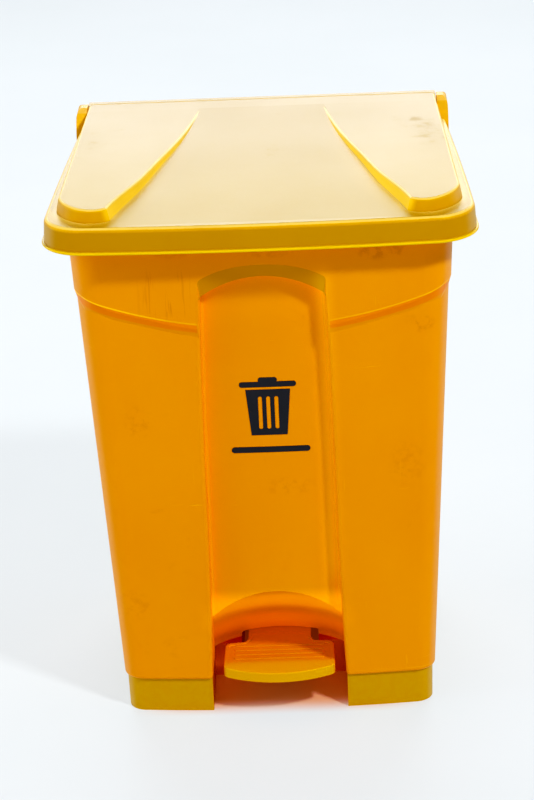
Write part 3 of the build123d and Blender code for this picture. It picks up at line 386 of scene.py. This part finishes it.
def lid_marks(m, colour):
    """Painted highlight along the lower edge of the skirt, a darker tone for the flat top against
    its sheen, painted glow on the rounded edges, the thin upstanding walls and the flat beside
    them, and scuffs.
    """
    x, y, z = m.axes
    normal_x, normal_y, normal_z = m.split(m.geometry["Normal"])
    # painted shade: the flat top gets a darker tone of its own, to offset the strong sheen it
    # catches
    flat = m.fade(normal_z, over=(0.90, 0.985))
    colour = m.mix(flat, colour, (0.375, 0.216, 0.0))
    # painted highlight: a bright yellow line along the lower edge of the skirt
    lip_highlight = m.fade(z, over=(0.6202, 0.6192))
    colour = m.stain(colour, lip_highlight, strength=0.65, color=(0.84, 0.56, 0.01))
    uneven = m.fade(m.noise(scale=18.0, detail=3.0), over=(0.25, 0.65), to=(0.84, 1.0))
    above_lip = m.fade(z, over=(0.6205, 0.6230))
    # painted highlight: the rounded edges glow as if they catch the light from above
    upper_round = m.times(m.fade(normal_z, over=(0.992, 0.940)),
                          m.fade(normal_z, over=(0.50, 0.82)), above_lip)
    lower_round = m.times(m.fade(normal_z, over=(0.90, 0.68)),
                          m.fade(normal_z, over=(0.12, 0.42)), above_lip)
    # painted glow on the steep walls of the raised ends, standing in for light bounced onto them
    # from the deck
    steep = m.times(m.fade(normal_z, over=(0.80, 0.45)), m.fade(z, over=(0.6455, 0.6500)))
    inner = m.fade(m.times(normal_x, m.math("SIGN", x)), over=(-0.30, -0.62))
    more_right = m.fade(x, over=(-0.02, 0.02), to=(0.30, 0.42))
    wall = m.times(steep, m.vary(base=0.17, by=inner, spread=more_right))
    # painted glow on the flat beside those walls, standing in for light thrown back from them
    near_wall = m.times(m.hollow(reach=0.030, over=(0.06, 0.45)), flat,
                        m.fade(z, over=(0.640, 0.643)))
    # glow strengths of the upper and lower rounds, then of the flat beside the walls
    strength = m.plus(m.times(upper_round, 0.46), m.times(lower_round, 0.20))
    strength = m.math("MAXIMUM", strength, wall)
    strength = m.vary(base=strength, by=near_wall, spread=0.42)
    hue = m.mix(inner, (1.0, 0.46, 0.01), (1.0, 0.70, 0.06))
    hue = m.mix(m.math("MAXIMUM", upper_round, near_wall), hue, (1.0, 0.82, 0.34))
    m.glow(color=hue, strength=m.times(strength, uneven))
    # faint scuffs on top
    scuff = m.noise(scale=22.0, detail=4.0, rough=0.65, distortion=0.8, stretch=(1.0, 2.6, 1.0))
    scuff = m.times(m.fade(scuff, over=(0.60, 0.72)), m.fade(z, over=(0.650, 0.655)))
    return m.stain(colour, scuff, strength=0.07, color=(0.36, 0.22, 0.04))


def pedal_marks(m, colour):
    """Painted shade: the top of the foot plate is coloured a deeper, redder tone, more yellow
    towards its front edge, with a painted orange glow.
    """
    normal_z = m.split(m.geometry["Normal"])[2]
    top = m.times(
        m.fade(normal_z, over=(0.80, 0.95)),
        m.fade(m.noise(scale=40.0, detail=3.0), over=(0.25, 0.60), to=(0.80, 1.0)))
    # painted glow: strengths on the top and in the hollows
    m.glow(color=(1.0, 0.29, 0.0), strength=m.plus(m.times(top, 0.14), m.times(m.hollows, 0.04)))
    # painted shade and light: redder on the inner part of the plate, more yellow towards its
    # front edge
    wear_and_shade = m.mix(m.fade(m.axes[1], over=(-0.128, -0.150)), (0.41, 0.132, 0.0), (0.44, 0.255, 0.0))
    return m.stain(colour, top, strength=0.9, color=wear_and_shade)


def foot_marks(m, colour):
    """Painted shade: deeper colour on the faces that only see the recess beside the pedal."""
    x, y, z = m.axes
    deep = m.times(
        m.fade(m.math("ABSOLUTE", x), over=(0.087, 0.080)),
        m.fade(y, over=(-0.152, -0.138)),
        m.fade(y, over=(0.06, 0.02)))
    return m.stain(colour, deep, strength=0.9, color=(0.75, 0.16, 0.0))


def cover_marks(m, colour):
    """Painted glow: the rear cover only glows faintly in its hollows."""
    m.glow(color=(1.0, 0.42, 0.0), strength=m.times(m.hollows, 0.10))
    return colour


# ------------------------------------------------------------------ other materials
def steel(name, tint, rough, scale=240.0, stretch_z=0.05):
    """Steel with directional brushing, cloudy plating and dark specks."""
    m = Material(name)
    cloud = m.noise(scale=45.0, detail=4.0, rough=0.6)
    brushed = m.noise(scale=scale, detail=3.0, rough=0.6, stretch=(1.0, 1.0, stretch_z))
    darker = tuple(channel * 0.82 for channel in tint)
    lighter = tuple(channel * 1.15 for channel in tint)
    colour = m.mix(m.fade(cloud, over=(0.35, 0.68)), darker, tint)
    colour = m.mix(m.fade(brushed, over=(0.35, 0.7), to=(0.0, 0.25)), colour, lighter)
    specks = m.fade(m.noise(scale=420.0, detail=3.0, rough=0.7), over=(0.68, 0.78))
    m.set("Base Color", m.stain(colour, specks, strength=0.55, color=(0.09, 0.07, 0.05)))
    m.set("Metallic", 1.0)
    m.set("Roughness", m.vary(base=rough, by=cloud, spread=0.35, centre=0.5))
    m.set("Normal", m.bump(brushed, strength=0.12, distance=0.0004))
    return m.data


def natural_nylon():
    m = Material("natural_nylon")
    tone = m.noise(scale=60.0, detail=4.0, rough=0.6)
    m.set("Base Color", m.mix(tone, (0.62, 0.60, 0.52), (0.74, 0.73, 0.66)))
    m.set("Roughness", m.vary(base=0.38, by=tone, spread=0.2))
    m.subsurface(weight=0.15, radius=(0.004, 0.003, 0.002))
    m.set("Normal", m.bump(m.noise(scale=1500.0), strength=0.1, distance=0.0003))
    return m.data


def black_print():
    """Screen-printed black film: slightly glossy, with scuffed flecks."""
    m = Material("black_print")
    flecks = m.noise(scale=260.0, detail=4.0, rough=0.65)
    wear_and_shade = m.fade(flecks, over=(0.66, 0.74))
    slow = m.noise(scale=40.0, detail=3.0)
    colour = m.mix(slow, (0.006, 0.006, 0.010), (0.014, 0.013, 0.020))
    m.set("Base Color", m.stain(colour, wear_and_shade, strength=0.35, color=(0.24, 0.11, 0.01)))
    m.set("Roughness", m.vary(base=0.36, by=flecks, spread=0.2))
    m.set("Normal", m.bump(m.noise(scale=1400.0), strength=0.12, distance=0.0002))
    return m.data


def pale_floor():
    m = Material("pale_floor")
    slow = m.noise(scale=2.2, detail=4.0, rough=0.55)
    fine = m.noise(scale=60.0, detail=3.0, rough=0.6)
    colour = m.mix(m.fade(slow, over=(0.3, 0.7)), (0.185, 0.205, 0.22), (0.20, 0.218, 0.235))
    flecks = m.fade(fine, over=(0.62, 0.75), to=(0.0, 0.10))
    colour = m.mix(flecks, colour, (0.27, 0.29, 0.31))
    # painted shade: warm brown on the floor beneath the bin, where the light only comes off the
    # bin
    x, y, z = m.axes
    shade_below = m.times(
        m.fade(m.math("ABSOLUTE", x), over=(0.19, 0.10)),
        m.times(m.fade(y, over=(-0.165, -0.120)), m.fade(y, over=(0.21, 0.15))))
    m.set("Base Color", m.stain(colour, shade_below, strength=0.65, color=(0.80, 0.40, 0.22)))
    # the sheet glows, which lifts the shadows on it; beneath the bin 0.47 of that glow is lost
    # and it turns orange, painted shade with painted bounce light
    m.glow(color=m.mix(shade_below, (0.93, 0.975, 1.0), (1.0, 0.26, 0.03)),
           strength=m.minus(0.60, m.times(shade_below, 0.47)))
    m.set("Roughness", 0.62)
    m.set("Normal", m.bump(m.noise(scale=35.0, detail=3.0), strength=0.04, distance=0.004))
    return m.data


body = moulded("moulded_body", base=(0.670, 0.257, 0.0), deep=(0.651, 0.242, 0.0),
               marks=body_marks, smudge=0.20)
lid = moulded("moulded_lid", base=(0.42, 0.220, 0.0), deep=(0.40, 0.206, 0.0),
              marks=lid_marks, smudge=0.10, rough=0.38, scratch=0.9, sheen=0.80, hollow=0.0,
              pale=((0.87, 0.99, 1.0), (0.94, 0.99, 0.73)))
foot = moulded("moulded_foot", base=(0.47, 0.250, 0.0), deep=(0.455, 0.238, 0.0),
               marks=foot_marks, smudge=0.04, wear=0.2, hollow=0.0)
pedal = moulded("moulded_pedal", base=(0.60, 0.315, 0.0), deep=(0.575, 0.292, 0.0),
                marks=pedal_marks, smudge=0.30, rough=0.38, wear=0.9, scratch=1.0, hollow=0.7)
cover = moulded("moulded_cover", base=(0.70, 0.270, 0.0), deep=(0.68, 0.254, 0.0),
                marks=cover_marks, smudge=0.3)
zinc = steel("zinc_plate", tint=(0.56, 0.57, 0.58), rough=0.34)
bar = steel("drawn_bar", tint=(0.60, 0.60, 0.61), rough=0.28, stretch_z=0.04)
screw = steel("screw_zinc", tint=(0.55, 0.55, 0.53), rough=0.30, scale=500.0)
spring = steel("spring_dark", tint=(0.16, 0.16, 0.17), rough=0.42)
nylon = natural_nylon()
ink = black_print()

FINISH = {
    "body_shell": body, "base_ring": foot, "rear_cover": cover, "lid_shell": lid,
    "pedal_tread": pedal,
    "lid_lift_bracket": zinc, "pedal_lever": zinc, "rod_upper_washer": zinc,
    "hinge_pin_left": bar, "hinge_pin_right": bar, "lever_axle": bar, "push_rod": bar,
    "rod_lower_pin": bar, "rod_upper_pin": bar,
    "base_screws": screw, "rear_cover_screws": screw, "lid_bracket_screws": screw,
    "pedal_screws": screw,
    "axle_clips": spring, "rod_lower_clip": spring, "rod_upper_clip": spring,
    "axle_bushes": nylon, "rod_guides": nylon, "front_mark": ink,
}
for name, piece in nodes.items():
    piece.data.materials.clear()
    piece.data.materials.append(FINISH[name])


# ------------------------------------------------------------------ floor, light, camera
def add_object(name, data):
    added = bpy.data.objects.new(name, data)
    scene.collection.objects.link(added)
    return added


def build_floor():
    """Pale studio floor that curves up far behind the object."""
    profile = [(y, 0.0) for y in (*FLOOR_Y, COVE_START)]
    for i in range(1, COVE_STEPS + 1):
        angle = i / COVE_STEPS * math.pi / 2
        profile.append((COVE_START + COVE_RADIUS * math.sin(angle),
                        COVE_RADIUS - COVE_RADIUS * math.cos(angle)))
    profile.append((COVE_START + COVE_RADIUS, BACKDROP_TOP))
    bm = bmesh.new()
    rows = [[bm.verts.new((x, y, z)) for x in FLOOR_X] for y, z in profile]
    for near, far in zip(rows, rows[1:]):
        for i in range(len(FLOOR_X) - 1):
            face = bm.faces.new((near[i], near[i + 1], far[i + 1], far[i]))
            face.smooth = True
    mesh = bpy.data.meshes.new("studio_floor")
    bm.to_mesh(mesh)
    bm.free()
    floor = add_object("studio_floor", mesh)
    mesh.materials.append(pale_floor())


def build_world():
    """A pale room, brighter on the left than on the right."""
    world = bpy.data.worlds.new("studio")
    scene.world = world
    room = Nodes(world)
    direction = room.node("TexCoord").outputs["Generated"]
    sideways = room.node("SeparateXYZ", {0: direction}).outputs["X"]
    strength = room.node("MapRange", {
        "Value": sideways, "From Min": -1.0, "From Max": 1.0, "To Min": 0.30, "To Max": 0.12,
    }).outputs[0]
    light = room.node("Background", {"Color": (0.93, 0.965, 1.0), "Strength": strength})
    room.node("OutputWorld", {0: light.outputs[0]})


def area(name, place, power, size, height=None, target=(0, 0, 0.35), color=(1.0, 1.0, 0.98)):
    """Area light aimed at the target; square unless a height is given."""
    light = bpy.data.lights.new(name, "AREA")
    light.energy = power
    light.color = color
    light.shape = "RECTANGLE"
    light.size = size
    light.size_y = height or size
    lamp = add_object(name, light)
    lamp.location = place
    lamp.rotation_mode = "QUATERNION"
    lamp.rotation_quaternion = (Vector(target) - Vector(place)).to_track_quat("-Z", "Y")
    lamp.visible_camera = False


def build_camera():
    camera = bpy.data.cameras.new("cam")
    holder = add_object("cam", camera)
    scene.camera = holder
    forward = Vector((math.sin(CAMERA_YAW) * math.cos(CAMERA_PITCH),
                      math.cos(CAMERA_YAW) * math.cos(CAMERA_PITCH),
                      -math.sin(CAMERA_PITCH)))
    level = Vector((math.cos(CAMERA_YAW), -math.sin(CAMERA_YAW), 0))
    upright = level.cross(forward)
    right = level * math.cos(CAMERA_ROLL) + upright * math.sin(CAMERA_ROLL)
    up = -level * math.sin(CAMERA_ROLL) + upright * math.cos(CAMERA_ROLL)
    rows = [(right[i], up[i], -forward[i], CAMERA_PLACE[i]) for i in range(3)]
    holder.matrix_world = Matrix((*rows, (0, 0, 0, 1)))
    camera.sensor_width = SENSOR_WIDTH
    camera.lens = FOCAL_LENGTH
    camera.clip_start = 0.05
    camera.clip_end = 60


def set_view():
    view = scene.view_settings
    view.view_transform = "Standard"
    view.look = "None"
    view.exposure = 0.0
    view.gamma = 1.0
    view.use_curve_mapping = True
    mapping = view.curve_mapping
    mapping.initialize()
    for before, after in TONE_CURVE:
        mapping.curves[3].points.new(before, after)
    mapping.update()


build_floor()
build_world()
area("key", place=(2.6, -2.6, 4.4), power=255, size=0.5, color=(1.0, 0.985, 0.96))
area("side_left", place=(-3.5, -0.5, 1.7), power=84, size=2.4)
area("side_right", place=(3.5, 0.6, 1.5), power=18, size=2.0)
area("fill_left", place=(-2.4, -3.2, 1.8), power=16, size=2.4, color=(0.97, 0.99, 1.0))
area("front_low", place=(0.3, -3.9, 0.75), power=22, size=2.6, height=1.0,
     target=(0, 0, 0.12), color=(1.0, 0.99, 0.97))
area("back_sheen", place=(0.0, 3.3, 2.1), power=74, size=3.6, height=1.8,
     target=(0, 0, 0.7), color=(1.0, 1.0, 1.0))
build_camera()
set_view()
